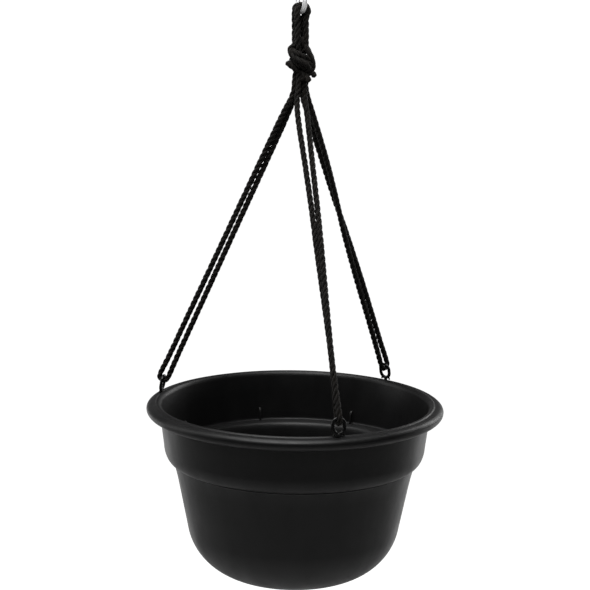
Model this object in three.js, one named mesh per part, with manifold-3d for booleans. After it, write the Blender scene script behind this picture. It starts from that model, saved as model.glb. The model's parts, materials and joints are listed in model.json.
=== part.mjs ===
// A 12 inch hanging basket: a moulded plastic pot held by three doubled cords, which are
// gathered in one knot and hang by a short loop on a wire S-hook.
//
// Millimetres, +Z up. The origin is the underside of the hook's upper bend, where a rail or an
// eye carries it. Angles round the vertical axis are measured from -Y towards +X.
import * as THREE from "three";
import { mergeVertices } from "three/addons/utils/BufferGeometryUtils.js";
import Module from "manifold-3d";

const wasm = await Module();
wasm.setup();

// ---------------------------------------------------------------- driving dimensions
const FRONT = 17; // degrees, where the front cord and the plane of the hook point
const SLINGS = { front: FRONT, right: FRONT + 120, left: FRONT - 120 };

const HOOK_WIRE = 5;
const HOOK_BEND = 12; // radius of both bends, at the middle of the wire
const HOOK_CENTRES = 46; // between the centres of the two bends
const HOOK_TIP = 6; // straight end past each bend

const LOOP_WIRE_Z = HOOK_WIRE / 2 - HOOK_BEND - HOOK_CENTRES - HOOK_BEND;
const RIM_BELOW_WIRE = 395;
const RIM_Z = LOOP_WIRE_Z - RIM_BELOW_WIRE;

const CORD = 5.2; // the cord's solid, slightly under the 5.5 mm cord so that turns don't touch
const LOOP_CORD = 4.5; // where the load presses it on the wire and on its neighbours

const RIM_R = 152.4; // half of 12 inches
const POT_HEIGHT = 184;
const WALL = 2.2;
const STEP_R = 124.4; // where the collar steps in to the bowl
const STEP_Z = -60.7; // below the rim's top
const POT_SIDES = 48;

const CLIP_R = 144; // from the pot's axis to a clip's stem
const EYELET_R = 5.9; // to the middle of the eyelet's band
const EYELET_BAND = 3.4; // in the plane of the eyelet
const EYELET_THICK = 2.8; // through the eyelet
const EYELET_HEIGHT = 11.2; // of the centre of its upper arc above the rim
const EYELET_SIDES = 3; // straight sides between its upper and lower arcs
const EYELET_LEAN = 10; // degrees, towards the pot's axis
const STEM_R = 1.7;
const STEM_TOP = 3; // inside the bottom of the eyelet's band
const CLIP_HOLE_R = 2.1;
const BARB_R = 3; // widest, just under the rim's wall
const BARB_TIP_R = 1.3;
const BARB_TOP = -3.1;
const BARB_TIP = -7.5;
const BARB_SPLIT = 0.9; // the slot that lets the barb close as it is pushed in

const RIB_COUNT = 8;
const RIB_THICK = 2.4;
const DRAIN_COUNT = 6;
const DRAIN_HOLE_R = 4.5;
const DRAIN_RING_R = 19;

// ---------------------------------------------------------------- finishes
function finish(color, roughness, metalness = 0) {
  return new THREE.MeshStandardMaterial({ color, roughness, metalness });
}

const potPlastic = () => finish(0x17181a, 0.55);
const clipPlastic = () => finish(0x121212, 0.35);
const blackCord = () => finish(0x15130f, 0.9);
const platedWire = () => finish(0xc9ccd0, 0.22, 1);

// ---------------------------------------------------------------- helpers
const object = new THREE.Group();

function radians(degrees) {
  return THREE.MathUtils.degToRad(degrees);
}

// A point given outwards, across and up, seen from the axis towards the angle.
function around(angle, out, across, up) {
  const a = radians(angle);
  const x = out * Math.sin(a) + across * Math.cos(a);
  const y = -out * Math.cos(a) + across * Math.sin(a);
  return new THREE.Vector3(x, y, up);
}

// Turns a shape whose own X points outwards to face the angle.
function facing(geometry, angle) {
  return geometry.rotateZ(radians(angle - 90));
}

function addMesh(name, geometry, material) {
  const mesh = new THREE.Mesh(geometry, material);
  mesh.name = name;
  object.add(mesh);
  return mesh;
}

// The outline turns about the vertical axis; its points are [radius, height].
function turned(outline, sides) {
  const geometry = new THREE.LatheGeometry(outline, sides);
  return geometry.rotateX(Math.PI / 2);
}

// A route through listed points, with one section of the tube on each point.
class Route extends THREE.CatmullRomCurve3 {
  constructor(points) {
    super(points, false, "centripetal");
  }
  getPointAt(u, target) {
    return this.getPoint(u, target);
  }
  getTangentAt(u, target) {
    return this.getTangent(u, target);
  }
}

// A round tube along a curve, with two sides for each corner of half its section.
function tube(curve, steps, diameter, corners = 4) {
  const section = new THREE.Shape();
  section.absarc(0, 0, diameter / 2, 0, 2 * Math.PI);
  return new THREE.ExtrudeGeometry(section, {
    extrudePath: curve,
    steps,
    curveSegments: corners,
    bevelEnabled: false,
  });
}

function cordTube(points, diameter = CORD) {
  return tube(new Route(points), points.length - 1, diameter);
}

// ---------------------------------------------------------------- cutting and joining
function toSolid(geometry) {
  const bare = geometry.clone();
  bare.deleteAttribute("normal");
  bare.deleteAttribute("uv");
  const merged = mergeVertices(bare, 1e-4);
  const index = merged.index.array;
  const kept = [];
  for (let i = 0; i < index.length; i += 3) {
    const [a, b, c] = [index[i], index[i + 1], index[i + 2]];
    if (a !== b && b !== c && c !== a) kept.push(a, b, c);
  }
  const mesh = new wasm.Mesh({
    numProp: 3,
    vertProperties: Float32Array.from(merged.attributes.position.array),
    triVerts: Uint32Array.from(kept),
  });
  return new wasm.Manifold(mesh);
}

function toGeometry(solid) {
  const mesh = solid.getMesh();
  const geometry = new THREE.BufferGeometry();
  geometry.setAttribute("position", new THREE.BufferAttribute(mesh.vertProperties, 3));
  geometry.setIndex(new THREE.BufferAttribute(mesh.triVerts, 1));
  geometry.computeVertexNormals();
  return geometry;
}

function join(geometries) {
  return geometries.map(toSolid).reduce((all, next) => all.add(next));
}

function cut(solid, geometries) {
  return geometries.map(toSolid).reduce((rest, next) => rest.subtract(next), solid);
}

// An upright cylinder by its bottom and top.
function post(radius, bottom, top, sides = 16, topRadius = radius) {
  const geometry = new THREE.CylinderGeometry(topRadius, radius, top - bottom, sides);
  return geometry.rotateX(Math.PI / 2).translate(0, 0, (bottom + top) / 2);
}

// ---------------------------------------------------------------- S-hook
// Both bends lie in one upright plane, which faces the front cord. The lower bend opens to the
// front, the upper one to the back, and the shank crosses between them.
function hookCurve() {
  const lowerZ = LOOP_WIRE_Z + HOOK_BEND;
  const upperZ = lowerZ + HOOK_CENTRES;
  const lean = Math.asin((2 * HOOK_BEND) / HOOK_CENTRES);
  const at = (out, up) => around(FRONT, out, 0, up);
  const bend = (centre, from, to) => {
    const points = [];
    const steps = 12;
    for (let i = 0; i <= steps; i++) {
      const a = from + ((to - from) * i) / steps;
      points.push(at(HOOK_BEND * Math.cos(a), centre + HOOK_BEND * Math.sin(a)));
    }
    return points;
  };
  return new Route([
    at(HOOK_BEND, lowerZ + HOOK_TIP),
    at(HOOK_BEND, lowerZ + HOOK_TIP / 2),
    ...bend(lowerZ, 0, -Math.PI - lean),
    at(0, (lowerZ + upperZ) / 2),
    ...bend(upperZ, -lean, Math.PI),
    at(-HOOK_BEND, upperZ - HOOK_TIP / 2),
    at(-HOOK_BEND, upperZ - HOOK_TIP),
  ]);
}

function addHook() {
  const curve = hookCurve();
  addMesh("s_hook", tube(curve, curve.points.length - 1, HOOK_WIRE, 5), platedWire());
}

// ---------------------------------------------------------------- hanging loop
// The three cords cross the wire side by side. Each route is [along the wire, across it, above
// the middle of the wire]: up one side, over the wire and down the other side.
const OVER_MIDDLE = [
  [0, -2.7, -31.5],
  [0, -2.7, -14],
  [0, -2.6, -4.4],
  [0, -4.6, -1.8],
  [0, -4.7, 1.6],
  [0, -2.9, 4.1],
  [0, 0, 5],
  [0, 2.9, 4.1],
  [0, 4.7, 1.6],
  [0, 4.6, -1.8],
  [0, 2.6, -4.4],
  [0, 2.7, -14],
  [0, 2.7, -31.5],
];
const OVER_SIDE = [
  [5, -4.6, -31.5],
  [4.9, -5.2, -14],
  [4.8, -5.6, -1],
  [4.8, -5.4, 3.6],
  [4.8, -3.3, 6.3],
  [4.8, 0, 7.2],
  [4.8, 3.3, 6.3],
  [4.8, 5.3, 3.6],
  [4.8, 5.8, 0],
  [4.8, 4, -5],
  [4.9, 3.7, -14],
  [5, 3.8, -31.5],
];

function addLoop() {
  const strands = { front: [OVER_SIDE, 1], middle: [OVER_MIDDLE, 1], back: [OVER_SIDE, -1] };
  for (const [name, [route, side]] of Object.entries(strands)) {
    const points = route.map(([along, across, up]) =>
      around(FRONT, side * along, across, LOOP_WIRE_Z + up),
    );
    addMesh(`hanging_loop_${name}_cord`, cordTube(points, LOOP_CORD), blackCord());
  }
}

// ---------------------------------------------------------------- gathering knot
const KNOT_TOP = LOOP_WIRE_Z - 32;
const KNOT_HEIGHT = 36;
const KNOT_R = 13;
const KNOT_MIDDLE = KNOT_TOP - KNOT_HEIGHT / 2;
const KNOT_LEAN = 1.5; // how far its lower bulge stands to the right

function addKnot() {
  const outline = [
    new THREE.Vector2(0, -KNOT_HEIGHT / 2),
    new THREE.Vector2(0.66 * KNOT_R, -KNOT_HEIGHT / 2),
    new THREE.Vector2(0.86 * KNOT_R, -0.34 * KNOT_HEIGHT),
    new THREE.Vector2(KNOT_R, -0.12 * KNOT_HEIGHT),
    new THREE.Vector2(0.96 * KNOT_R, 0.14 * KNOT_HEIGHT),
    new THREE.Vector2(0.9 * KNOT_R, 0.36 * KNOT_HEIGHT),
    new THREE.Vector2(0.78 * KNOT_R, KNOT_HEIGHT / 2),
    new THREE.Vector2(0, KNOT_HEIGHT / 2),
  ];
  const geometry = turned(outline, 16).translate(KNOT_LEAN, 0, KNOT_MIDDLE);
  addMesh("gathering_knot", geometry, blackCord());
}

// The cord ends that stand out of the knot: [x, y, above the knot's middle], root first.
const TAILS = {
  left: [
    [-12.6, -3, -1.4],
    [-15, -3.6, 1],
    [-17.2, -4.2, 4],
  ],
  right: [
    [14.2, -4.1, -10.2],
    [15.6, -5, -12.2],
    [16.6, -6, -15],
  ],
  front: [
    [7.8, -10.7, -14.8],
    [9.4, -12, -16.6],
    [10.8, -13.2, -19.4],
  ],
};

function addTails() {
  for (const [name, route] of Object.entries(TAILS)) {
    const points = route.map(([x, y, up]) => new THREE.Vector3(x, y, KNOT_MIDDLE + up));
    addMesh(`${name}_cord_tail`, cordTube(points), blackCord());
  }
}

// ---------------------------------------------------------------- hanger cords
// Each hanger is one cord doubled through its clip's eyelet. The middle between its two legs runs
// straight from under the knot to the clip: [outwards, above the rim's top].
const HANGER_MIDDLE = [
  [5, 326.6],
  [5.2, 320],
  [7.2, 311],
  [13.7, 296],
  [36.9, 245],
  [57, 201],
  [70.7, 171],
  [93.9, 120],
  [115.6, 72.5],
  [130.3, 40.1],
];
// How far the legs stand from that middle at each of its points, outwards and across, and how far
// both stand aside. The legs of the front and right hangers lie side by side at the knot and one
// above the other at the clip; those of the left hanger start half turned.
const HANGER_SPREAD = {
  front: [
    [0, 2.9, 0],
    [0, 3, 0],
    [0.1, 3.9, -1],
    [0.3, 4.7, -1.5],
    [0.6, 3.6, -0.7],
    [1.3, 2.6, 0],
    [2.3, 1.8, 0],
    [3.2, 0.1, 0],
    [3.9, -1, 0],
    [4.4, -0.7, 0],
  ],
  right: [
    [0, 2.9, 0],
    [0, 3, 0],
    [0.1, 3.5, -0.4],
    [0.3, 3.9, -0.8],
    [0.6, 3.7, -1.1],
    [1.6, 2.6, -0.3],
    [2.8, 1.2, 0],
    [3.7, 0, 0],
    [4.1, 0, 0],
    [4.4, 0, 0],
  ],
  left: [
    [0, 2.9, 0],
    [0, 3, 0],
    [0.6, 3, 0],
    [1.9, 2.6, 0],
    [2.7, 1.8, 0],
    [3.2, 1, 0],
    [3.5, 0.4, 0],
    [3.9, 0, 0],
    [4.2, 0, 0],
    [4.4, 0, 0],
  ],
};
// The ends of the two legs in the eyelet, where they meet: [outwards, across, above the rim].
const OUTER_END = [
  [145.2, 0, 18.7],
  [145.8, 0, 16.5],
  [144.9, 0, 14],
  [144, 0, 12.9],
  [143.2, 0, 12.5],
];
const INNER_END = [
  [136.9, 0, 14.9],
  [138.4, 0, 12.9],
  [140.7, 0, 12.1],
  [142, 0, 12],
  [142.8, 0, 12.4],
];

function legRoute(name, side) {
  const run = HANGER_MIDDLE.map(([out, up], i) => {
    const [outwards, across, aside] = HANGER_SPREAD[name][i];
    return [out + side * outwards, side * across + aside, up];
  });
  return [...run, ...(side > 0 ? OUTER_END : INNER_END)];
}

function addHangerCords() {
  for (const [name, angle] of Object.entries(SLINGS)) {
    for (const [leg, side] of [["outer", 1], ["inner", -1]]) {
      const points = legRoute(name, side).map(([out, across, up]) =>
        around(angle, out, across, RIM_Z + up),
      );
      addMesh(`${name}_cord_${leg}_leg`, cordTube(points), blackCord());
    }
  }
}

// ---------------------------------------------------------------- clips
// A long eyelet on a stem that snaps into a hole in the rim, with a foot on each side of the stem.
// Built with X outwards, Y across and the stem's axis on Z, and Z = 0 at the rim's top.
function eyelet() {
  const band = [];
  const corners = 10;
  for (let i = 0; i <= corners; i++) {
    const a = (2 * Math.PI * i) / corners;
    const r = EYELET_R + (EYELET_BAND / 2) * Math.cos(a);
    band.push(new THREE.Vector2(r, (EYELET_THICK / 2) * Math.sin(a)));
  }
  const geometry = turned(band, 24).rotateY(Math.PI / 2);
  const place = geometry.attributes.position;
  for (let i = 0; i < place.count; i++) {
    if (place.getZ(i) < -0.1) place.setZ(i, place.getZ(i) - EYELET_SIDES);
  }
  return geometry.translate(0, 0, EYELET_HEIGHT).rotateY(-radians(EYELET_LEAN));
}

function foot(side) {
  const route = new Route([
    new THREE.Vector3(-0.7, side * 4.3, 4.2),
    new THREE.Vector3(-0.4, side * 4.9, 2.4),
    new THREE.Vector3(0, side * 5.2, 0.6),
  ]);
  return tube(route, 4, 2);
}

function clipGeometry() {
  const stem = post(STEM_R, BARB_TOP - 1, STEM_TOP, 12);
  const barb = post(BARB_TIP_R, BARB_TIP, BARB_TOP, 12, BARB_R);
  const split = new THREE.BoxGeometry(BARB_SPLIT, 3 * BARB_R, 5.2).translate(0, 0, BARB_TOP - 2.4);
  const body = join([eyelet(), foot(1), foot(-1), stem, barb]);
  return toGeometry(cut(body, [split]));
}

function addClips() {
  for (const [name, angle] of Object.entries(SLINGS)) {
    const stemBase = around(angle, CLIP_R, 0, RIM_Z);
    const mesh = addMesh(`${name}_clip`, facing(clipGeometry(), angle), clipPlastic());
    mesh.position.copy(stemBase);
  }
}

// ---------------------------------------------------------------- pot
// Half of the pot's section, [radius, height from the rim's top], from the middle of the base
// outwards and up the outside, over the rolled rim and back down the inside.
function potOutline() {
  const base = -POT_HEIGHT;
  const path = new THREE.Path();
  path.moveTo(0, base + 3);
  path.lineTo(28, base + 3);
  path.lineTo(31, base);
  path.lineTo(41, base);
  path.bezierCurveTo(81, base, 105.5, -158, 109.7, -130.4); // rounded foot of the bowl
  path.lineTo(STEP_R - 0.4, STEP_Z - 2.2);
  path.lineTo(STEP_R + 0.9, STEP_Z - 1.6); // bead under the collar
  path.lineTo(STEP_R + 0.9, STEP_Z - 0.6);
  path.bezierCurveTo(129.9, STEP_Z, 134, -53.3, 134.4, -44.3); // underside of the collar
  path.lineTo(138.5, -12);
  path.lineTo(139.2, -3.6);
  path.bezierCurveTo(143, -2, 149.8, -1.4, 150.2, -6.8); // inside of the rolled rim
  path.bezierCurveTo(150.1, -9.6, 147.4, -11, 144.2, -11.5);
  path.lineTo(143.9, -13.4);
  path.bezierCurveTo(149, -13, RIM_R, -10.6, RIM_R, -6.7); // outside of the rolled rim
  path.bezierCurveTo(RIM_R, -2.6, 149.4, 0, 145.6, 0);
  path.lineTo(143.6, -0.9); // groove round the top of the rim
  path.lineTo(142.2, -0.5);
  path.lineTo(138.9, -1.1);
  path.quadraticCurveTo(137, -1.6, 136.8, -4);
  path.lineTo(132.2, -44.3);
  path.bezierCurveTo(131.9, -52.2, 128, -57.9, STEP_R - 0.6, -58.5); // ledge inside the collar
  path.lineTo(STEP_R - WALL, STEP_Z);
  path.lineTo(107.5, -130.2);
  path.bezierCurveTo(103.4, -156.6, 80, base + WALL, 41, base + WALL);
  path.lineTo(32, base + WALL);
  path.lineTo(29, base + 3 + WALL);
  path.lineTo(0, base + 3 + WALL);
  return path.getPoints(5);
}

// Upright ribs on the ledge, which keep stacked pots from jamming.
function ribs() {
  const shapes = [];
  for (let i = 0; i < RIB_COUNT; i++) {
    const rib = new THREE.Shape();
    rib.moveTo(125.4, -59.2);
    rib.lineTo(128.4, -57.6);
    rib.lineTo(131.9, -53.2);
    rib.lineTo(133.3, -45);
    rib.lineTo(134, -38);
    rib.lineTo(132, -38);
    rib.quadraticCurveTo(128.6, -39.2, 127.6, -43);
    const geometry = new THREE.ExtrudeGeometry(rib, {
      depth: RIB_THICK,
      curveSegments: 4,
      bevelEnabled: false,
    });
    geometry.translate(0, 0, -RIB_THICK / 2).rotateX(Math.PI / 2);
    shapes.push(facing(geometry, FRONT + (360 / RIB_COUNT) * i));
  }
  return shapes;
}

function clipHoles() {
  return Object.values(SLINGS).map((angle) => {
    const at = around(angle, CLIP_R, 0, 0);
    return post(CLIP_HOLE_R, -6, 3, 16).translate(at.x, at.y, 0);
  });
}

function drainHoles() {
  const holes = [];
  for (let i = 0; i < DRAIN_COUNT; i++) {
    const at = around((360 / DRAIN_COUNT) * i, DRAIN_RING_R, 0, 0);
    holes.push(post(DRAIN_HOLE_R, -POT_HEIGHT, -POT_HEIGHT + 8, 16).translate(at.x, at.y, 0));
  }
  return holes;
}

function addPot() {
  const shell = turned(potOutline(), POT_SIDES);
  const solid = cut(join([shell, ...ribs()]), [...clipHoles(), ...drainHoles()]);
  const mesh = addMesh("pot", toGeometry(solid), potPlastic());
  mesh.position.z = RIM_Z;
}

// ---------------------------------------------------------------- the whole object
addHook();
addLoop();
addKnot();
addTails();
addHangerCords();
addClips();
addPot();

export default object;
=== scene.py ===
import json
import math

import bpy
import numpy as np
from mathutils import Matrix, Vector


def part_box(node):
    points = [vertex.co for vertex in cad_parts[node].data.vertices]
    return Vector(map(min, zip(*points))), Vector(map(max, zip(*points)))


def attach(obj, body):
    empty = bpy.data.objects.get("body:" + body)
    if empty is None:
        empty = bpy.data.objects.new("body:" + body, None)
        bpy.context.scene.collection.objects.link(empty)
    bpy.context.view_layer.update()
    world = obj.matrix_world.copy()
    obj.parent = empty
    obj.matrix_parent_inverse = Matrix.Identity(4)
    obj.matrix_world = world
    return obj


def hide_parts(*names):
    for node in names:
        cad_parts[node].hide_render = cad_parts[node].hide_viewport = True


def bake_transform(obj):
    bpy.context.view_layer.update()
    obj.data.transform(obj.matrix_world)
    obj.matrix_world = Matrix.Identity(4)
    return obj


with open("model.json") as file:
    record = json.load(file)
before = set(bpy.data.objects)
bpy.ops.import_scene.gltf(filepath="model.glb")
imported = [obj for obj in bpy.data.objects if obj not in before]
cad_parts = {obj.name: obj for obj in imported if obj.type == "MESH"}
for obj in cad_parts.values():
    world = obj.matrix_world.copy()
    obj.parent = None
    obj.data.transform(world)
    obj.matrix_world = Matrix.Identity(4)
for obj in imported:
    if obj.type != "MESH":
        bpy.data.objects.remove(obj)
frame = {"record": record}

# A hanging basket in metres, +Z up. The origin is the underside of the hook's upper bend.
# Angles round the vertical axis are in degrees, from -Y towards +X.

MM = 0.001
TAU = 2 * math.pi

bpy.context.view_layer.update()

# ---------------------------------------------------------------- places from the record
joints = {j["name"]: j for j in frame["record"]["behaviour"]["joints"]}
WIRE_Z = joints["loop_swing"]["pos_m"][2]
KNOT_Z = joints["cord_turn"]["pos_m"][2]
RIM_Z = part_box("pot")[1][2]
BASE_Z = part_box("pot")[0][2]

FRONT = 17
SLINGS = {"front": FRONT, "right": FRONT + 120, "left": FRONT - 120}

# ---------------------------------------------------------------- camera
CAMERA_SPOT = (-1.83 * MM, -1740 * MM, RIM_Z + 429 * MM)
CAMERA_DOWN = 10.368  # degrees below the horizontal
CAMERA_ROLL = 0.895
CAMERA_LENS = 106.17

camera_data = bpy.data.cameras.new("camera")
camera_data.sensor_width = 36
camera_data.lens = CAMERA_LENS
camera = bpy.data.objects.new("camera", camera_data)
camera.matrix_world = (
    Matrix.Translation(CAMERA_SPOT)
    @ Matrix.Rotation(math.radians(90 - CAMERA_DOWN), 4, "X")
    @ Matrix.Rotation(math.radians(CAMERA_ROLL), 4, "Z")
)
bpy.context.scene.collection.objects.link(camera)
bpy.context.scene.camera = camera


# ---------------------------------------------------------------- lines
def around(angle, out, across, up):
    """A point given outwards, across and up, seen from the axis towards the angle."""
    a = math.radians(angle)
    x = out * math.sin(a) + across * math.cos(a)
    y = -out * math.cos(a) + across * math.sin(a)
    return (x, y, up)


def unit(vectors):
    return vectors / np.linalg.norm(vectors, axis=-1, keepdims=True)


def along(line):
    """The distance of each point from the line's start."""
    steps = np.linalg.norm(np.diff(line, axis=0), axis=1)
    return np.concatenate([[0.0], np.cumsum(steps)])


SPAN_CUTS = 40  # pieces of a smooth line's span, before it is cut evenly


def smooth_line(points, step):
    """A centripetal Catmull-Rom line through the points, cut in pieces of about one step."""
    p = np.array(points, float)
    p = np.vstack([2 * p[0] - p[1], p, 2 * p[-1] - p[-2]])
    fine = []
    for i in range(1, len(p) - 2):
        spans = np.linalg.norm(np.diff(p[i - 1 : i + 3], axis=0), axis=1) ** 0.5
        t0, t1, t2, t3 = np.concatenate([[0.0], np.cumsum(spans)])
        for t in np.linspace(t1, t2, SPAN_CUTS, endpoint=False):
            a1 = (p[i - 1] * (t1 - t) + p[i] * (t - t0)) / (t1 - t0)
            a2 = (p[i] * (t2 - t) + p[i + 1] * (t - t1)) / (t2 - t1)
            a3 = (p[i + 1] * (t3 - t) + p[i + 2] * (t - t2)) / (t3 - t2)
            b1 = (a1 * (t2 - t) + a2 * (t - t0)) / (t2 - t0)
            b2 = (a2 * (t3 - t) + a3 * (t - t1)) / (t3 - t1)
            fine.append((b1 * (t2 - t) + b2 * (t - t1)) / (t2 - t1))
    fine = np.array(fine + [p[-2]])
    far = along(fine)
    even = np.linspace(0, far[-1], max(2, round(far[-1] / step) + 1))
    return np.stack([np.interp(even, far, fine[:, k]) for k in range(3)], axis=1)


SIDE_SEED = (0.31, 0.87, 0.38)  # a direction that no line here starts in


def cross_directions(line):
    """Two directions across a line at each of its points, which don't twist about it."""
    ahead = unit(np.gradient(line, axis=0))
    first = np.cross(ahead[0], SIDE_SEED)
    side = [first / np.linalg.norm(first)]
    for direction in ahead[1:]:
        kept = side[-1] - direction * (side[-1] @ direction)
        side.append(kept / np.linalg.norm(kept))
    side = np.array(side)
    return side, np.cross(ahead, side)


# ---------------------------------------------------------------- meshes
def new_object(name, verts, faces, material, uvs=None, sharp=None):
    """A shaded mesh object; uvs holds one pair for each corner of each face."""
    mesh = bpy.data.meshes.new(name)
    mesh.from_pydata([tuple(v) for v in verts], [], [tuple(f) for f in faces])
    mesh.update()
    if uvs is not None:
        layer = mesh.uv_layers.new(name="run")
        layer.data.foreach_set("uv", np.array(uvs, np.float32).ravel())
    finish_mesh(mesh, material, sharp)
    obj = bpy.data.objects.new(name, mesh)
    bpy.context.scene.collection.objects.link(obj)
    return obj


def finish_mesh(mesh, material, sharp):
    """Smooth shading and one material; sharp is the angle from which edges stay crisp, or None."""
    mesh.shade_smooth()
    if sharp is not None:
        mesh.set_sharp_from_angle(angle=math.radians(sharp))
    mesh.materials.clear()
    mesh.materials.append(material)


def skin(rings, lengths):
    """Vertices, faces and uvs of a closed tube through rings of points, capped at both ends."""
    rings = np.array(rings)
    count, sides = rings.shape[:2]
    faces, uvs = [], []
    for i in range(count - 1):
        for j in range(sides):
            k = (j + 1) % sides
            a, b = i * sides, (i + 1) * sides
            faces.append((a + j, a + k, b + k, b + j))
            low, high = j / sides, (j + 1) / sides
            near, far = lengths[i], lengths[i + 1]
            uvs += [(near, low), (near, high), (far, high), (far, low)]
    last = (count - 1) * sides
    faces.append(tuple(reversed(range(sides))))
    faces.append(tuple(last + j for j in range(sides)))
    uvs += [(lengths[0], j / sides) for j in reversed(range(sides))]
    uvs += [(lengths[-1], j / sides) for j in range(sides)]
    return rings.reshape(-1, 3), faces, uvs


def together(parts):
    """Several skins as one list of vertices, faces and uvs."""
    verts, faces, uvs = [], [], []
    for part_verts, part_faces, part_uvs in parts:
        start = len(verts)
        verts += [tuple(v) for v in part_verts]
        faces += [tuple(start + k for k in face) for face in part_faces]
        uvs += part_uvs
    return verts, faces, uvs


DOME = ((0.38, 0.93), (0.72, 0.70), (0.95, 0.32))  # how far out, and what is left of the radius
DOME_STEP = 0.3  # of its depth, between two rings in the uv map


def domed(rings, lengths, depth, start=True, end=True):
    """Adds shrinking rings to a tube, so that its ends are round."""
    rings, lengths = list(rings), list(lengths)
    if start:
        base, centre = rings[0], rings[0].mean(axis=0)
        out = unit(centre - rings[1].mean(axis=0))
        for far, share in DOME:
            rings.insert(0, centre + out * depth * far + (base - centre) * share)
            lengths.insert(0, lengths[0] - DOME_STEP * depth)
    if end:
        base, centre = rings[-1], rings[-1].mean(axis=0)
        out = unit(centre - rings[-2].mean(axis=0))
        for far, share in DOME:
            rings.append(centre + out * depth * far + (base - centre) * share)
            lengths.append(lengths[-1] + DOME_STEP * depth)
    return rings, lengths


def round_rings(line, radius, sides):
    """Rings of a round tube; radius is one number or one for each point."""
    side, up = cross_directions(line)
    radius = np.broadcast_to(radius, len(line))[:, None, None]
    angles = np.arange(sides) * TAU / sides
    ring = side[:, None] * np.cos(angles)[:, None] + up[:, None] * np.sin(angles)[:, None]
    return line[:, None] + ring * radius


# ---------------------------------------------------------------- node materials
class Look:
    """A node material, built from a few named steps."""

    def __init__(self, name):
        self.material = bpy.data.materials.new(name)
        self.material.use_nodes = True
        self.nodes = self.material.node_tree.nodes
        self.links = self.material.node_tree.links
        self.shader = self.nodes["Principled BSDF"]

    def put(self, target, value):
        if isinstance(value, bpy.types.NodeSocket):
            self.links.new(value, target)
        else:
            target.default_value = value

    def set(self, **values):
        for name, value in values.items():
            self.put(self.shader.inputs[name.replace("_", " ")], value)

    def node(self, kind, inputs=(), **settings):
        made = self.nodes.new(kind)
        for name, value in settings.items():
            setattr(made, name, value)
        for key, value in dict(inputs).items():
            self.put(made.inputs[key], value)
        return made

    def place(self):
        """Where a point is, in metres."""
        return self.node("ShaderNodeTexCoord").outputs["Object"]

    def run(self):
        """Along and round a cord or wire, in diameters and turns."""
        return self.node("ShaderNodeUVMap", uv_map="run").outputs["UV"]

    def noise(self, scale, detail=2.0, roughness=0.5, at=None, stretch=None):
        at = at if at is not None else self.place()
        if stretch:
            at = self.node("ShaderNodeMapping", {"Vector": at, "Scale": stretch}).outputs[0]
        inputs = {"Vector": at, "Scale": scale, "Detail": detail, "Roughness": roughness}
        return self.node("ShaderNodeTexNoise", inputs).outputs["Fac"]

    def maths(self, operation, a, b=0.0):
        return self.node("ShaderNodeMath", {0: a, 1: b}, operation=operation).outputs[0]

    def spread(self, value, low, high, to_low, to_high):
        inputs = {0: value, 1: low, 2: high, 3: to_low, 4: to_high}
        return self.node("ShaderNodeMapRange", inputs).outputs[0]

    def mix(self, share, one, other):
        inputs = {"Factor": share, 6: one, 7: other}
        return self.node("ShaderNodeMix", inputs, data_type="RGBA").outputs[2]

    def bump(self, height, distance, strength=1.0, under=None):
        inputs = {"Height": height, "Distance": distance, "Strength": strength}
        if under is not None:
            inputs["Normal"] = under
        return self.node("ShaderNodeBump", inputs).outputs[0]

    def edges(self, low, high):
        """0 on flat places and 1 on convex edges."""
        sharp = self.node("ShaderNodeNewGeometry").outputs["Pointiness"]
        return self.spread(sharp, low, high, 0.0, 1.0)

    def facing_up(self):
        normal = self.node("ShaderNodeNewGeometry").outputs["Normal"]
        return self.node("ShaderNodeSeparateXYZ", {0: normal}).outputs[2]


def pot_look():
    look = Look("moulded_pot_plastic")
    broad = look.noise(22, 3)
    colour = look.mix(broad, (0.0044, 0.0045, 0.005, 1), (0.0082, 0.008, 0.0079, 1))
    worn = look.maths("MULTIPLY", look.edges(0.515, 0.56), look.noise(160, 4))
    colour = look.mix(look.maths("MULTIPLY", worn, 0.8), colour, (0.035, 0.034, 0.033, 1))
    specks = look.spread(look.noise(750, 5, 0.7), 0.64, 0.74, 0.0, 1.0)
    settled = look.maths("MULTIPLY", specks, look.spread(look.facing_up(), 0.25, 0.9, 0.05, 0.6))
    patches = look.spread(look.noise(28, 3), 0.42, 0.62, 0.15, 1.0)
    settled = look.maths("MULTIPLY", settled, patches)
    colour = look.mix(settled, colour, (0.075, 0.068, 0.058, 1))
    rubbed = look.noise(48, 5, 0.62, stretch=(1, 1, 0.35))
    rough = look.spread(rubbed, 0.3, 0.72, 0.36, 0.5)
    rough = look.maths("ADD", rough, look.maths("MULTIPLY", settled, 0.3))
    grain = look.bump(look.noise(1500, 3, 0.6), 0.06 * MM, 0.55)
    flow = look.bump(look.noise(34, 2, stretch=(1, 1, 0.5)), 0.5 * MM, 0.3, grain)
    look.set(Base_Color=colour, Roughness=rough, Normal=flow, Specular_IOR_Level=0.42)
    return look.material


def clip_look():
    look = Look("glossy_clip_plastic")
    colour = look.mix(look.noise(260, 3), (0.0042, 0.0042, 0.0046, 1), (0.0085, 0.0083, 0.008, 1))
    worn = look.maths("MULTIPLY", look.edges(0.53, 0.6), look.noise(900, 4))
    colour = look.mix(look.maths("MULTIPLY", worn, 0.5), colour, (0.03, 0.03, 0.03, 1))
    rough = look.spread(look.noise(420, 4), 0.3, 0.7, 0.16, 0.3)
    bumps = look.bump(look.noise(520, 2), 0.12 * MM, 0.35)
    look.set(Base_Color=colour, Roughness=rough, Normal=bumps)
    return look.material


YARNS = 9  # round each strand
YARN_LEAN = 0.29  # turns round the strand for each cord diameter along it


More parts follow.
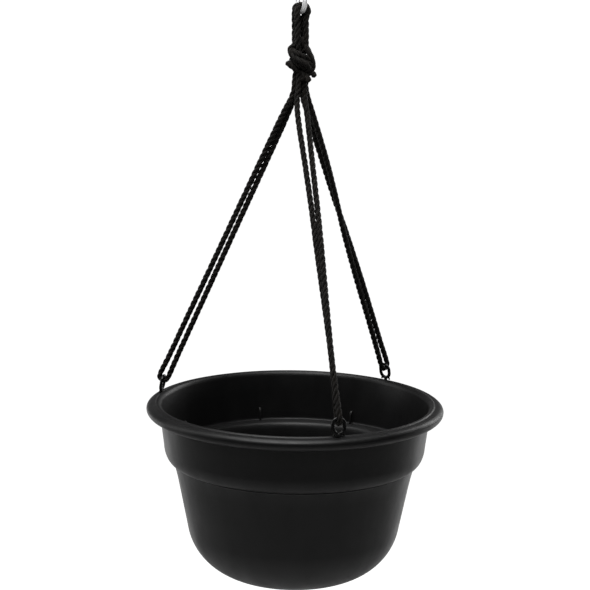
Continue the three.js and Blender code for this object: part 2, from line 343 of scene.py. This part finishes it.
def cord_look():
    look = Look("twisted_black_cord")
    run = look.run()
    parts = look.node("ShaderNodeSeparateXYZ", {0: run}).outputs
    lean = look.maths("MULTIPLY", parts[0], YARN_LEAN)
    turn = look.maths("MULTIPLY", look.maths("ADD", parts[1], lean), YARNS * TAU)
    wobble = look.maths("MULTIPLY", look.noise(900, 2), 2.4)
    yarn = look.maths("SINE", look.maths("ADD", turn, wobble))
    yarn = look.spread(yarn, -1.0, 1.0, 0.0, 1.0)
    fibres = look.noise(2600, 4, 0.7)
    # Painted shade: the colour is darkest in the grooves between the yarns, where the yarn wave is
    # low, and lighter on their crests, with a random tone from the noise on top.
    tone = look.maths("MULTIPLY", look.spread(look.noise(120, 4), 0.3, 0.7, 0.2, 1.0), yarn)
    colour = look.mix(tone, (0.0032, 0.0026, 0.0021, 1), (0.021, 0.0162, 0.0115, 1))
    lint = look.spread(look.noise(1500, 6, 0.75), 0.66, 0.74, 0.0, 0.5)
    colour = look.mix(lint, colour, (0.05, 0.039, 0.029, 1))
    rough = look.spread(fibres, 0.3, 0.7, 0.62, 0.86)
    threads = look.bump(yarn, 0.22 * MM, 0.8)
    fuzz = look.bump(fibres, 0.1 * MM, 0.5, threads)
    look.set(Base_Color=colour, Roughness=rough, Normal=fuzz)
    look.set(Sheen_Weight=0.05, Sheen_Roughness=0.5, Specular_IOR_Level=0.28)
    return look.material


def hook_look():
    look = Look("zinc_plated_wire")
    run = look.run()
    drawn = look.noise(3.0, 5, 0.65, at=run, stretch=(0.6, 22, 1))
    mottled = look.noise(420, 4)
    colour = look.mix(mottled, (0.84, 0.84, 0.85, 1), (0.96, 0.96, 0.96, 1))
    scratch = look.spread(drawn, 0.62, 0.74, 0.0, 0.6)
    colour = look.mix(scratch, colour, (0.62, 0.56, 0.54, 1))
    rough = look.spread(look.maths("ADD", drawn, mottled), 0.7, 1.3, 0.24, 0.42)
    lines = look.bump(drawn, 0.06 * MM, 0.5)
    look.set(Base_Color=colour, Roughness=rough, Normal=lines, Metallic=0.45)
    return look.material


POT_LOOK = pot_look()
CLIP_LOOK = clip_look()
CORD_LOOK = cord_look()
HOOK_LOOK = hook_look()

# ---------------------------------------------------------------- cords
CORD = 5.5 * MM
LAY = 19 * MM  # one turn of the strands
STRAND_OUT = 0.285 * CORD  # from the cord's middle to a strand's middle
STRAND_R = 0.268 * CORD
STRAND_SQUEEZE = 1.14  # how much wider a strand is where it presses on its neighbours
STRAND_SIDES = 10
CORD_STEP = 1.0 * MM
TAIL_STEP = 0.6 * MM
UNEVEN_TURN = 0.16  # radians by which a strand runs ahead of or behind an even twist
UNEVEN_LAYS = 7.3  # turns of the strands between two such places
SWELL = 0.035  # the share by which a strand's thickness comes and goes
SWELL_LAYS = 0.9
PRESS_REACH = 10 * MM  # along a cord, how far its thinning spreads where it bears on something
WIRE_PRESS = 0.16  # the share by which the hook's wire thins a cord
EYELET_PRESS = 0.14  # the same where a hanger turns in its clip's eyelet


def pressed(line, spot, share):
    """The cord's thickness along the line, as a share, where it bears on something at the spot."""
    run = along(line)
    return 1 - share * np.exp(-(((run - run[spot]) / PRESS_REACH) ** 2))


def strand_rings(line, phase, press):
    """The rings of points of each of a cord's three strands, and the cord's run in diameters."""
    side, up = cross_directions(line)
    run = along(line)
    press = np.broadcast_to(press, len(line))
    angles = np.arange(STRAND_SIDES) * TAU / STRAND_SIDES
    strands = []
    for k in range(3):
        slip = UNEVEN_TURN * np.sin(run / (UNEVEN_LAYS * LAY) * TAU + 2.1 * k + phase)
        turn = (run / LAY + k / 3) * TAU + phase + slip
        radial = side * np.cos(turn)[:, None] + up * np.sin(turn)[:, None]
        middle = line + radial * (STRAND_OUT * press)[:, None]
        forward = unit(np.gradient(middle, axis=0))
        wide = unit(np.cross(forward, radial))
        deep = np.cross(wide, forward)
        swell = 1 + SWELL * np.sin(run / (SWELL_LAYS * LAY) * TAU + 1.7 * k)
        ring = deep[:, None] * np.cos(angles)[:, None]
        ring = ring + wide[:, None] * np.sin(angles)[:, None] * STRAND_SQUEEZE
        strands.append(middle[:, None] + ring * (STRAND_R * press * swell)[:, None, None])
    return strands, run / CORD


def cord_object(name, strands, run, start_round=True, end_round=True):
    """One piece of cord, made of its strands' rings."""
    parts = [skin(*domed(rings, run, STRAND_R, start_round, end_round)) for rings in strands]
    verts, faces, uvs = together(parts)
    return new_object(name, verts, faces, CORD_LOOK, uvs)


def whole_cord(name, line, phase, press=1.0):
    """A cord along the line, round at both ends; phase turns its strands about the line."""
    strands, run = strand_rings(line, phase, press)
    return cord_object(name, strands, run)


# The three cords over the hook's wire: along the wire, across it, above its middle.
OVER_MIDDLE = [
    (0, -2.7, -31.5),
    (0, -2.7, -14),
    (0, -2.6, -4.4),
    (0, -4.6, -1.8),
    (0, -4.7, 1.6),
    (0, -2.9, 4.1),
    (0, 0, 5),
    (0, 2.9, 4.1),
    (0, 4.7, 1.6),
    (0, 4.6, -1.8),
    (0, 2.6, -4.4),
    (0, 2.7, -14),
    (0, 2.7, -31.5),
]
OVER_SIDE = [
    (5, -4.6, -31.5),
    (4.9, -5.2, -14),
    (4.8, -5.6, -1),
    (4.8, -5.4, 3.6),
    (4.8, -3.3, 6.3),
    (4.8, 0, 7.2),
    (4.8, 3.3, 6.3),
    (4.8, 5.3, 3.6),
    (4.8, 5.8, 0),
    (4.8, 4, -5),
    (4.9, 3.7, -14),
    (5, 3.8, -31.5),
]
LOOP_LAPS = (("front", OVER_SIDE, 1), ("middle", OVER_MIDDLE, 1), ("back", OVER_SIDE, -1))
LOOP_TUCK = 8  # how far each end of the loop goes on into the knot


def tucked_in(end):
    """A point in the knot, below and nearer to its middle than the loop's end."""
    out, across, up = end
    return (0.8 * out, 0.7 * across, up - LOOP_TUCK)


def add_loop_cords():
    for number, (name, route, side) in enumerate(LOOP_LAPS):
        points = [
            around(FRONT, side * out * MM, across * MM, WIRE_Z + up * MM)
            for out, across, up in (tucked_in(route[0]), *route, tucked_in(route[-1]))
        ]
        line = smooth_line(points, CORD_STEP)
        press = pressed(line, len(line) // 2, WIRE_PRESS)
        obj = whole_cord(f"loop_{name}_cord", line, phase=1.3 * number, press=press)
        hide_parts(f"hanging_loop_{name}_cord")
        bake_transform(obj)


# Each hanger is one cord doubled through its clip. The middle between its two legs: outwards,
# above the rim's top.
HANGER_MIDDLE = [
    (5, 326.6),
    (5.2, 320),
    (7.2, 311),
    (13.7, 296),
    (36.9, 245),
    (57, 201),
    (70.7, 171),
    (93.9, 120),
    (115.6, 72.5),
    (130.3, 40.1),
]
# How far the legs stand from it, outwards and across, and how far both stand aside.
HANGER_SPREAD = {
    "front": [
        (0, 2.9, 0),
        (0, 3, 0),
        (0.1, 3.9, -1),
        (0.3, 4.7, -1.5),
        (0.6, 3.6, -0.7),
        (1.3, 2.6, 0),
        (2.3, 1.8, 0),
        (3.2, 0.1, 0),
        (3.9, -1, 0),
        (4.4, -0.7, 0),
    ],
    "right": [
        (0, 2.9, 0),
        (0, 3, 0),
        (0.1, 3.5, -0.4),
        (0.3, 3.9, -0.8),
        (0.6, 3.7, -1.1),
        (1.6, 2.6, -0.3),
        (2.8, 1.2, 0),
        (3.7, 0, 0),
        (4.1, 0, 0),
        (4.4, 0, 0),
    ],
    "left": [
        (0, 2.9, 0),
        (0, 3, 0),
        (0.6, 3, 0),
        (1.9, 2.6, 0),
        (2.7, 1.8, 0),
        (3.2, 1, 0),
        (3.5, 0.4, 0),
        (3.9, 0, 0),
        (4.2, 0, 0),
        (4.4, 0, 0),
    ],
}
# The legs' ends in the eyelet, where they meet: outwards, across, above the rim's top.
OUTER_END = [(145.2, 0, 18.7), (145.8, 0, 16.5), (144.9, 0, 14), (144, 0, 12.9)]
INNER_END = [(136.9, 0, 14.9), (138.4, 0, 12.9), (140.7, 0, 12.1), (142, 0, 12)]
MEETING = (143, 0, 12.4)
TUCKED_UP = ((3.6, 2.2, 344), (4.2, 2.6, 335))  # where a leg's end runs up into the knot


def leg_route(name, side, ends):
    """One leg's points from the knot down: outwards, across, above the rim's top."""
    run = [(out, side * across, up) for out, across, up in TUCKED_UP]
    for (out, up), (outwards, across, aside) in zip(HANGER_MIDDLE, HANGER_SPREAD[name]):
        run.append((out + side * outwards, side * across + aside, up))
    return [*run, *ends]


def add_hanger_cords():
    for number, (name, angle) in enumerate(SLINGS.items()):
        outer = leg_route(name, 1, OUTER_END)
        inner = leg_route(name, -1, INNER_END)
        route = [*outer, MEETING, *reversed(inner)]
        points = [around(angle, o * MM, a * MM, RIM_Z + u * MM) for o, a, u in route]
        line = smooth_line(points, CORD_STEP)
        lowest = np.array(points[len(outer)])
        turn = int(np.argmin(np.linalg.norm(line - lowest, axis=1)))
        press = pressed(line, turn, EYELET_PRESS)
        strands, run = strand_rings(line, phase=0.7 + 2.2 * number, press=press)
        # Each leg's share of the line, which of its ends are round, and where it leaves the knot.
        halves = {
            "outer": (slice(0, turn + 1), (True, False), len(TUCKED_UP)),
            "inner": (slice(turn, None), (False, True), -len(TUCKED_UP) - 1),
        }
        for side, (part, ends, leaves) in halves.items():
            pieces = [rings[part] for rings in strands]
            obj = cord_object(f"{name}_hanger_{side}_leg", pieces, run[part], *ends)
            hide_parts(f"{name}_cord_{side}_leg")
            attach(obj, "basket")


add_loop_cords()
add_hanger_cords()

# ---------------------------------------------------------------- gathering knot
KNOT_TURNS = 3.15
KNOT_START = math.radians(60)  # round from +X towards the back
KNOT_PITCH = 5.3
KNOT_TILT = 4.2  # how much higher the turns are on the left than in the middle
KNOT_TOP_TURN = 11.0  # above the knot's middle
KNOT_DIVE = 0.16  # the share of a turn in which an end sinks into the bundle
KNOT_SUNK = 0.62  # of its radius, where an end is sunk
KNOT_CENTRES = (-0.3, 1.0, 1.9, 1.2)  # across, after none to three turns
KNOT_RADII = (10.3, 10.4, 10.5, 9.4)
KNOT_DEPTH = 0.94  # of the turns' width, from front to back
TURN_CUTS = 20


def winding_line():
    """The turns round the bundle of cords, from the top one down."""
    points = []
    steps = round(KNOT_TURNS * TURN_CUTS)
    for i in range(steps + 1):
        turn = KNOT_TURNS * i / steps
        angle = KNOT_START + TAU * turn
        centre = np.interp(turn, (0, 1, 2, 3), KNOT_CENTRES)
        radius = np.interp(turn, (0, 1, 2, 3), KNOT_RADII)
        risen = min(1.0, turn / KNOT_DIVE, (KNOT_TURNS - turn) / KNOT_DIVE)
        radius = radius * (KNOT_SUNK + (1 - KNOT_SUNK) * math.sin(risen * math.pi / 2))
        x = centre + radius * math.cos(angle)
        y = KNOT_DEPTH * radius * math.sin(angle)
        z = KNOT_TOP_TURN - KNOT_PITCH * turn - KNOT_TILT * math.cos(angle)
        points.append((x * MM, y * MM, KNOT_Z + z * MM))
    return smooth_line(points, CORD_STEP)


# The cords' ends that stand out of the knot: x, y, above the knot's middle.
TAILS = {
    "left": [(-3, -5.5, -8), (-6.5, -6.8, -5), (-9.8, -6.6, -2.2), (-12.8, -5.6, 0)],
    "right": [(5, -3, -4), (9.6, -4.2, -7.6), (12.6, -5, -10.4), (13.8, -5.6, -12.4)],
    "front": [(1, -6, -8), (5, -8.4, -12.2), (7.2, -9.6, -14.8), (8.4, -10.4, -16.8)],
}
# Cords that run from the loop over the knot's shoulders and under its turns, given the same way.
SHOULDERS = {
    "front": [
        (1, -3, 24),
        (4.2, -4.4, 17),
        (8.6, -6.2, 9.5),
        (11.6, -5.4, 2),
        (12.2, -4, -4),
        (9.4, -6, -9.6),
        (4, -7.4, -13.5),
        (1, -5, -17),
    ],
    "back": [
        (1, 3, 24),
        (4.6, 1.6, 17.5),
        (8.8, 0.6, 9.5),
        (12, 1.4, 1.5),
        (11.6, 2.4, -5),
        (7.6, 1, -11),
        (3.2, -1, -16),
    ],
    "left": [
        (-1, 0, 24),
        (-4.5, -3.6, 19),
        (-9.6, -4.4, 14.5),
        (-9.4, -7, 9),
        (-4, -10.6, 4.5),
        (3, -12.4, 0.5),
        (8.6, -9.4, -5),
        (5.4, -6.4, -10),
        (1, -4, -14),
    ],
}


def knot_line(route, step):
    return smooth_line([(x * MM, y * MM, KNOT_Z + up * MM) for x, y, up in route], step)


def add_knot():
    knot = whole_cord("knot_windings", winding_line(), phase=0.4)
    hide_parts("gathering_knot")
    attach(knot, "basket")
    for number, (name, route) in enumerate(SHOULDERS.items()):
        lap = whole_cord(f"knot_{name}_lap", knot_line(route, CORD_STEP), phase=1.1 * number)
        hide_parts("gathering_knot")
        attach(lap, "basket")
    for number, (name, route) in enumerate(TAILS.items()):
        tail = whole_cord(f"{name}_tail", knot_line(route, TAIL_STEP), phase=2.0 * number)
        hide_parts(f"{name}_cord_tail")
        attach(tail, "basket")


add_knot()

# ---------------------------------------------------------------- hook
HOOK_WIRE = 5 * MM
HOOK_BEND = 12 * MM  # radius of both bends, to the wire's middle
HOOK_CENTRES = 46 * MM  # from one bend's centre to the other's
HOOK_TIP = 6 * MM  # straight wire past each bend
HOOK_ROUND = 1.5 * MM  # of the tip, taken up by its round end
HOOK_STEP = 0.9 * MM
HOOK_SIDES = 24


def add_hook():
    """An S of wire, with its two bends in one plane and its tips straight."""
    lower = WIRE_Z + HOOK_BEND
    upper = lower + HOOK_CENTRES
    lean = math.asin(2 * HOOK_BEND / HOOK_CENTRES)

    def at(out, up):
        return around(FRONT, out, 0, up)

    def bend(centre, start, end, steps=30):
        turns = [start + (end - start) * i / steps for i in range(steps + 1)]
        return [
            at(HOOK_BEND * math.cos(a), centre + HOOK_BEND * math.sin(a)) for a in turns
        ]

    points = [
        at(HOOK_BEND, lower + HOOK_TIP - HOOK_ROUND),
        at(HOOK_BEND, lower + HOOK_TIP / 2),
        *bend(lower, 0, -math.pi - lean),
        at(0, (lower + upper) / 2),
        *bend(upper, -lean, math.pi),
        at(-HOOK_BEND, upper - HOOK_TIP / 2),
        at(-HOOK_BEND, upper - HOOK_TIP + HOOK_ROUND),
    ]
    line = smooth_line(points, HOOK_STEP)
    rings = round_rings(line, HOOK_WIRE / 2, HOOK_SIDES)
    rings, lengths = domed(rings, along(line) / HOOK_WIRE, HOOK_ROUND)
    verts, faces, uvs = skin(rings, lengths)
    hook = new_object("wire_hook", verts, faces, HOOK_LOOK, uvs, sharp=60)
    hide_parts("s_hook")
    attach(hook, "hook")
    return hook


HOOK = add_hook()

# ---------------------------------------------------------------- clips
CLIP_R = 144 * MM  # from the pot's axis
EYELET_R = 5.9 * MM  # to the middle of its band
EYELET_BAND = 3.5 * MM
EYELET_THICK = 2.9 * MM
EYELET_HEIGHT = 11.2 * MM  # of the middle of its upper arc
EYELET_SIDES = 3 * MM  # straight sides between its upper and lower arcs
EYELET_LEAN = 10  # degrees
BAND_CORNERS = 0.8  # 1 makes the band's section an ellipse, and less makes it squarer
CLIP_MESH = 0.26 * MM
FOOT_STEP = 0.4 * MM
FOOT_SIDES = 16
FOOT_ROUND = 0.3 * MM
STEM_SIDES = 32
AXIS = 1e-9  # a point nearer to the axis than this is on it


def lathe(outline, sides):
    """Vertices and faces turned about Z; an outline point on the axis makes one vertex."""
    verts, faces, starts = [], [], []
    pole = [abs(r) < AXIS for r, z in outline]
    for (r, z), on_axis in zip(outline, pole):
        starts.append(len(verts))
        if on_axis:
            verts.append((0, 0, z))
        else:
            turns = [TAU * k / sides for k in range(sides)]
            verts += [(r * math.cos(a), r * math.sin(a), z) for a in turns]
    for i in range(len(outline) - 1):
        a, b = starts[i], starts[i + 1]
        for k in range(sides):
            n = (k + 1) % sides
            if pole[i] and not pole[i + 1]:
                faces.append((a, b + n, b + k))
            elif pole[i + 1] and not pole[i]:
                faces.append((a + k, a + n, b))
            elif not pole[i]:
                faces.append((a + k, a + n, b + n, b + k))
    return verts, faces


def squared(value):
    """A sine or cosine, pushed outwards to make a circle squarer."""
    return math.copysign(abs(value) ** BAND_CORNERS, value)


def eyelet_part():
    """A long ring of rounded band in the plane across X, leaning towards the pot's axis."""
    around_band, around_ring = 20, 64
    verts, faces = [], []
    lean = Matrix.Rotation(-math.radians(EYELET_LEAN), 3, "Y")
    for i in range(around_ring):
        a = TAU * i / around_ring
        for j in range(around_band):
            b = TAU * j / around_band
            r = EYELET_R + EYELET_BAND / 2 * squared(math.cos(b))
            deep = EYELET_THICK / 2 * squared(math.sin(b))
            point = Vector((deep, r * math.sin(a), r * math.cos(a)))
            drop = EYELET_SIDES if math.cos(a) < -0.01 else 0.0
            point.z += EYELET_HEIGHT - drop
            verts.append(tuple(lean @ point))
    for i in range(around_ring):
        for j in range(around_band):
            a, b = i * around_band, ((i + 1) % around_ring) * around_band
            k = (j + 1) % around_band
            faces.append((a + j, a + k, b + k, b + j))
    return verts, faces


def foot_part(side):
    """A foot on one side, from the eyelet's underside down to the rim."""
    points = [(-0.9, 3.6, 5.6), (-0.7, 4.2, 4.2), (-0.4, 4.9, 2.4), (0, 5.2, 0.45)]
    line = smooth_line([(x * MM, side * y * MM, z * MM) for x, y, z in points], FOOT_STEP)
    share = np.linspace(0, 1, len(line))
    # Waisted halfway and flared at the bottom.
    radius = (1.0 - 0.25 * np.sin(share * math.pi) + 0.12 * share**6) * MM
    rings, lengths = domed(round_rings(line, radius, FOOT_SIDES), along(line), FOOT_ROUND)
    return skin(rings, lengths)[:2]


def stem_part():
    """The stem through the rim, with the barb that holds it below."""
    outline = [
        (0, -7.6),
        (1.2, -7.5),
        (1.5, -7.1),
        (2.9, -3.3),
        (2.8, -2.9),
        (1.7, -2.8),
        (1.65, 1.2),
        (1.9, 2.8),
        (0, 3.2),
    ]
    return lathe([(r * MM, z * MM) for r, z in outline], STEM_SIDES)


def solved(obj):
    """The object's mesh with its modifiers carried out."""
    bpy.context.view_layer.update()
    made = obj.evaluated_get(bpy.context.evaluated_depsgraph_get())
    return bpy.data.meshes.new_from_object(made)


def clip_mesh():
    """The clip's parts melted into one moulded skin, with small fillets where they meet."""
    parts = [eyelet_part(), foot_part(1), foot_part(-1), stem_part()]
    verts, faces, _ = together([(v, f, []) for v, f in parts])
    rough = new_object("clip_draft", verts, faces, CLIP_LOOK)
    melt = rough.modifiers.new("melt", "REMESH")
    melt.mode = "VOXEL"
    melt.voxel_size = CLIP_MESH
    fair = rough.modifiers.new("fair", "SMOOTH")
    fair.factor = 0.5
    fair.iterations = 5
    mesh = solved(rough)
    bpy.data.objects.remove(rough)
    finish_mesh(mesh, CLIP_LOOK, None)
    return mesh


def add_clips():
    mesh = clip_mesh()
    for name, angle in SLINGS.items():
        clip = bpy.data.objects.new(f"{name}_hanger_clip", mesh)
        bpy.context.scene.collection.objects.link(clip)
        spot = Matrix.Translation(around(angle, CLIP_R, 0, RIM_Z))
        clip.matrix_world = spot @ Matrix.Rotation(math.radians(angle - 90), 4, "Z")
        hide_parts(f"{name}_clip")
        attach(clip, f"{name}_clip")


add_clips()

# ---------------------------------------------------------------- pot
POT_SIDES = 224
POT_HEIGHT = 184
WALL = 2.2  # of the bottom
RIM_R = 152.4
STEP_R = 124.4  # where the bowl meets the collar's underside
STEP_Z = -60.7
RIB_COUNT = 8
RIB_THICK = 2
CLIP_HOLE_R = 2.1
DRAIN_COUNT = 6
DRAIN_R = 4.5
DRAIN_OUT = 19
DRAIN_RAISE = 3  # of the middle of the bottom, in which the drains are
HOLE_SIDES = 40
EDGE_ROUND = 0.35 * MM
POT_SHARP = 40  # degrees


class Outline:
    """A section built from straight and curved runs, in millimetres."""

    def __init__(self, r, z):
        self.points = [(r, z)]

    def line(self, r, z):
        self.points.append((r, z))
        return self

    def curve(self, *handles, steps=12):
        """A Bezier curve through two or three more points, the last of which is its end."""
        ends = [self.points[-1], *handles]
        order = len(ends) - 1
        for i in range(1, steps + 1):
            t = i / steps
            weights = [
                math.comb(order, k) * (1 - t) ** (order - k) * t**k for k in range(order + 1)
            ]
            r = sum(w * p[0] for w, p in zip(weights, ends))
            z = sum(w * p[1] for w, p in zip(weights, ends))
            self.points.append((r, z))
        return self


def pot_outline():
    """The pot's section: under the bottom, up the outside, over the rim and down the inside."""
    base = -POT_HEIGHT
    path = Outline(0, base + DRAIN_RAISE)
    path.line(27.6, base + DRAIN_RAISE).curve((28.4, base + 2.8), (28.8, base + 2.2), steps=4)
    path.line(30.4, base + 0.5).curve((30.8, base), (31.6, base), steps=4)
    path.line(41, base)
    path.curve((81, base), (105.5, -158), (109.7, -130.4), steps=36)
    path.line(112.8, -115).line(116.6, -96).line(120.4, -77.5)
    path.line(STEP_R - 0.4, STEP_Z - 2.6)
    path.curve((STEP_R - 0.2, STEP_Z - 1.9), (STEP_R + 0.9, STEP_Z - 1.7), steps=4)
    path.curve((STEP_R + 1.3, STEP_Z - 1.1), (STEP_R + 0.9, STEP_Z - 0.6), steps=4)
    path.curve((129.9, STEP_Z), (134, -53.3), (134.4, -44.3), steps=16)
    path.line(136.4, -28.5).line(138.5, -12)
    path.line(139.2, -3.6)
    path.curve((143, -2), (149.8, -1.4), (150.2, -6.8))
    path.curve((150.1, -9.6), (147.4, -11), (144.2, -11.5))
    path.curve((143.4, -12.4), (143.9, -13.4), steps=5)
    path.curve((149, -13), (RIM_R, -10.6), (RIM_R, -6.7), steps=16)
    path.curve((RIM_R, -5), (151.3, -3.1), (148.8, -1.9), steps=20)
    path.curve((147.2, -1.2), (145.2, -1.3), steps=6)
    path.curve((144, -1.4), (143.4, -1), steps=5)
    path.curve((142.6, -0.1), (141.8, 0), steps=6)
    path.curve((140.9, 0), (140, -0.5), steps=5)
    path.curve((137.6, -1.6), (136.8, -5), steps=10)
    path.line(134.5, -24).line(132.4, -43).line(131.8, -49.4)
    path.curve((131.7, -51.8), (130.6, -52.6), steps=6)
    path.curve((127.2, -53), (123, -54.6), steps=8)
    path.curve((120.8, -56), (119.6, -61), steps=10)
    path.line(118.4, -68).line(116, -84.5).line(112, -107)
    path.line(107.5, -130.2)
    path.curve((103.4, -156.6), (80, base + WALL), (41, base + WALL), steps=36)
    path.line(32, base + WALL).curve((31, base + WALL), (30.2, base + WALL + 1.2), steps=4)
    path.line(29, base + DRAIN_RAISE + WALL).line(0, base + DRAIN_RAISE + WALL)
    return [(r * MM, z * MM) for r, z in path.points]


def rib_object():
    """Upright ribs on the ledge inside the collar, all in one mesh."""
    outline = Outline(128.2, -55)
    outline.line(131.6, -54).line(133, -49).line(133.4, -45).line(134, -39)
    outline.line(132.2, -39).curve((129.6, -40.2), (129, -44), steps=8)
    half = RIB_THICK / 2 * MM
    parts = []
    for i in range(RIB_COUNT):
        angle = FRONT + 360 / RIB_COUNT * i
        rings = [
            [around(angle, r * MM, side * half, z * MM) for r, z in outline.points]
            for side in (-1, 1)
        ]
        parts.append(skin(rings, (0, 1)))
    verts, faces, _ = together(parts)
    ribs = new_object("rib_draft", verts, faces, POT_LOOK)
    soften = ribs.modifiers.new("soften", "BEVEL")
    soften.width = EDGE_ROUND
    soften.segments = 2
    soften.limit_method = "ANGLE"
    ribs.data = solved(ribs)
    ribs.modifiers.clear()
    return ribs


def hole_object():
    """Plugs for the three clip holes and the drain holes, all in one mesh."""
    plugs = []  # middle, radius, bottom, top
    for angle in SLINGS.values():
        plugs.append((around(angle, CLIP_R, 0, 0), CLIP_HOLE_R, -6, 3))
    for i in range(DRAIN_COUNT):
        spot = around(360 / DRAIN_COUNT * i, DRAIN_OUT * MM, 0, 0)
        plugs.append((spot, DRAIN_R, -POT_HEIGHT - 4, -POT_HEIGHT + 9))
    parts = []
    for (x, y, _), radius, low, high in plugs:
        verts, faces = lathe([(0, low), (radius, low), (radius, high), (0, high)], HOLE_SIDES)
        parts.append(([(x + a * MM, y + b * MM, c * MM) for a, b, c in verts], faces, []))
    verts, faces, _ = together(parts)
    return new_object("hole_draft", verts, faces, POT_LOOK)


def add_pot():
    verts, faces = lathe(pot_outline(), POT_SIDES)
    pot = new_object("moulded_pot", verts, faces, POT_LOOK)
    tools = [("UNION", rib_object()), ("DIFFERENCE", hole_object())]
    for operation, tool in tools:
        change = pot.modifiers.new(operation, "BOOLEAN")
        change.operation = operation
        change.solver = "EXACT"
        change.object = tool
    mesh = solved(pot)
    pot.modifiers.clear()
    pot.data = mesh
    for _, tool in tools:
        bpy.data.objects.remove(tool)
    finish_mesh(mesh, POT_LOOK, POT_SHARP)
    pot.location = (0, 0, RIM_Z)
    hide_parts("pot")
    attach(pot, "basket")


add_pot()

# ---------------------------------------------------------------- floor, light and backdrop
FLOOR_Z = BASE_Z - 0.9
FLOOR_HALF = 60
FLOOR_CORNERS = ((-1, -1), (1, -1), (1, 1), (-1, 1))
BACKDROP = (1.2, 2.3)  # where the floor starts to glow and glows fully, behind the object
POT_MIDDLE = (0, 0, (RIM_Z + BASE_Z) / 2)


def add_floor():
    """A pale floor that turns to a glowing white backdrop behind the object."""
    look = Look("pale_floor")
    tone = look.mix(look.noise(3, 3), (0.76, 0.76, 0.76, 1), (0.8, 0.8, 0.8, 1))
    back = look.node("ShaderNodeSeparateXYZ", {0: look.place()}).outputs[1]
    glow = look.spread(back, *BACKDROP, 0.0, 1.0)
    look.set(Base_Color=tone, Roughness=0.9, Emission_Color=(1, 1, 1, 1), Emission_Strength=glow)
    corners = [(x * FLOOR_HALF, y * FLOOR_HALF, FLOOR_Z) for x, y in FLOOR_CORNERS]
    new_object("floor", corners, [(0, 1, 2, 3)], look.material)


WORLD_SEEN = 1.1
# Along each direction: where the light starts to change and stops, and its strengths there.
WORLD_RAMPS = {"Y": (0.0, 0.9, 0.03, 0.22), "Z": (0.15, 0.5, 1.0, 0.35)}


def add_world():
    """White to the camera; as a light, bright low behind the object and dim in front of it."""
    world = bpy.data.worlds.new("studio")
    world.use_nodes = True
    nodes, links = world.node_tree.nodes, world.node_tree.links
    back = nodes["Background"]
    place = nodes.new("ShaderNodeTexCoord")
    split = nodes.new("ShaderNodeSeparateXYZ")
    seen = nodes.new("ShaderNodeLightPath")
    pick = nodes.new("ShaderNodeMix")
    links.new(place.outputs["Generated"], split.inputs[0])
    shares = []
    for axis, values in WORLD_RAMPS.items():
        ramp = nodes.new("ShaderNodeMapRange")
        links.new(split.outputs[axis], ramp.inputs["Value"])
        for name, value in zip(("From Min", "From Max", "To Min", "To Max"), values):
            ramp.inputs[name].default_value = value
        shares.append(ramp.outputs[0])
    both = nodes.new("ShaderNodeMath")
    both.operation = "MULTIPLY"
    links.new(shares[0], both.inputs[0])
    links.new(shares[1], both.inputs[1])
    links.new(seen.outputs["Is Camera Ray"], pick.inputs[0])
    links.new(both.outputs[0], pick.inputs[2])
    pick.inputs[3].default_value = WORLD_SEEN
    links.new(pick.outputs[0], back.inputs["Strength"])
    back.inputs["Color"].default_value = (1, 1, 1, 1)
    bpy.context.scene.world = world


def add_light(name, spot, aim, size, power):
    """A softbox of the size given in metres and the power in watts."""
    data = bpy.data.lights.new(name, "AREA")
    data.shape = "RECTANGLE"
    data.size, data.size_y = size
    data.energy = power
    light = bpy.data.objects.new(name, data)
    light.location = spot
    direction = Vector(aim) - Vector(spot)
    light.rotation_euler = direction.to_track_quat("-Z", "Y").to_euler()
    light.visible_camera = False
    bpy.context.scene.collection.objects.link(light)
    return light


# Name, place, what it is aimed at, size and power.
SOFTBOXES = [
    ("top_softbox", (-0.2, -0.2, 1.4), (0, 0, RIM_Z), (1.8, 1.6), 22),
    ("front_top_softbox", (-0.2, -0.75, 1.1), (0, 0, RIM_Z), (1.2, 0.7), 11),
    ("left_softbox", (-2.2, 0.3, 0.5), POT_MIDDLE, (0.7, 2.4), 10),
    ("right_softbox", (1.7, 1.8, 0.5), POT_MIDDLE, (0.8, 1.8), 16),
]
HOOK_SOFTBOX = ("hook_softbox", (-0.05, -0.55, 0.12), (0, 0, WIRE_Z), (0.5, 0.5), 2.2)


def add_hook_light():
    """The bright wire's own light: what would suit it washes out the black cord and pot."""
    light = add_light(*HOOK_SOFTBOX)
    receivers = bpy.data.collections.new("hook_only")
    receivers.objects.link(HOOK)
    light.light_linking.receiver_collection = receivers


add_floor()
add_world()
for softbox in SOFTBOXES:
    add_light(*softbox)
add_hook_light()

bpy.context.scene.view_settings.view_transform = "Standard"
